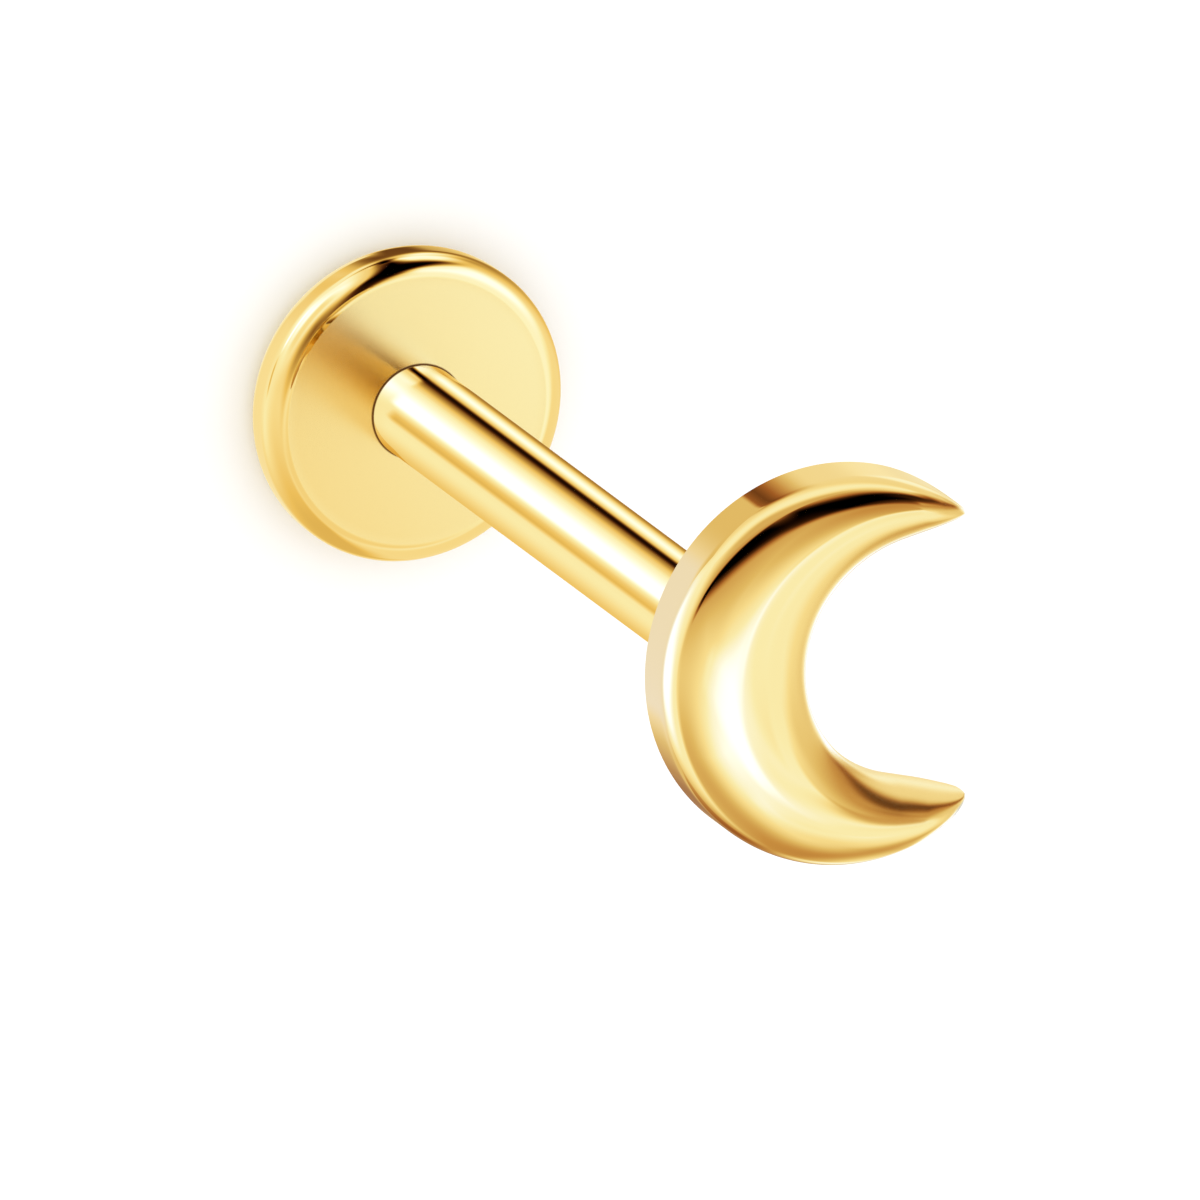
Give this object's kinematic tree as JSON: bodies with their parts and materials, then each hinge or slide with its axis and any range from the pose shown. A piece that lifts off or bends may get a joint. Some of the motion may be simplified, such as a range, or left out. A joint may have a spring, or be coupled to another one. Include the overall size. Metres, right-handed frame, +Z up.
{
  "type": "labret stud",
  "caption": "Labret stud: a thin round shaft with a flat round disc at one end and a domed crescent at the other, joined by a hidden pin.",
  "frame": {"origin": "centre of the flat outer face of the back disc, on which the stud stands", "axes": "+Z up the post from the disc to the crescent, +X from the crescent's round side towards its two horns, mirror plane XZ"},
  "size_m": [0.0045, 0.005, 0.0131],
  "materials": {
    "gold_metal": "mirror-polished titanium with a yellow gold-coloured coating"
  },
  "bodies": {
    "root": {"back_disc_post": "gold_metal", "crescent_top": "gold_metal", "joining_pin": "gold_metal"}
  },
  "joints": []
}
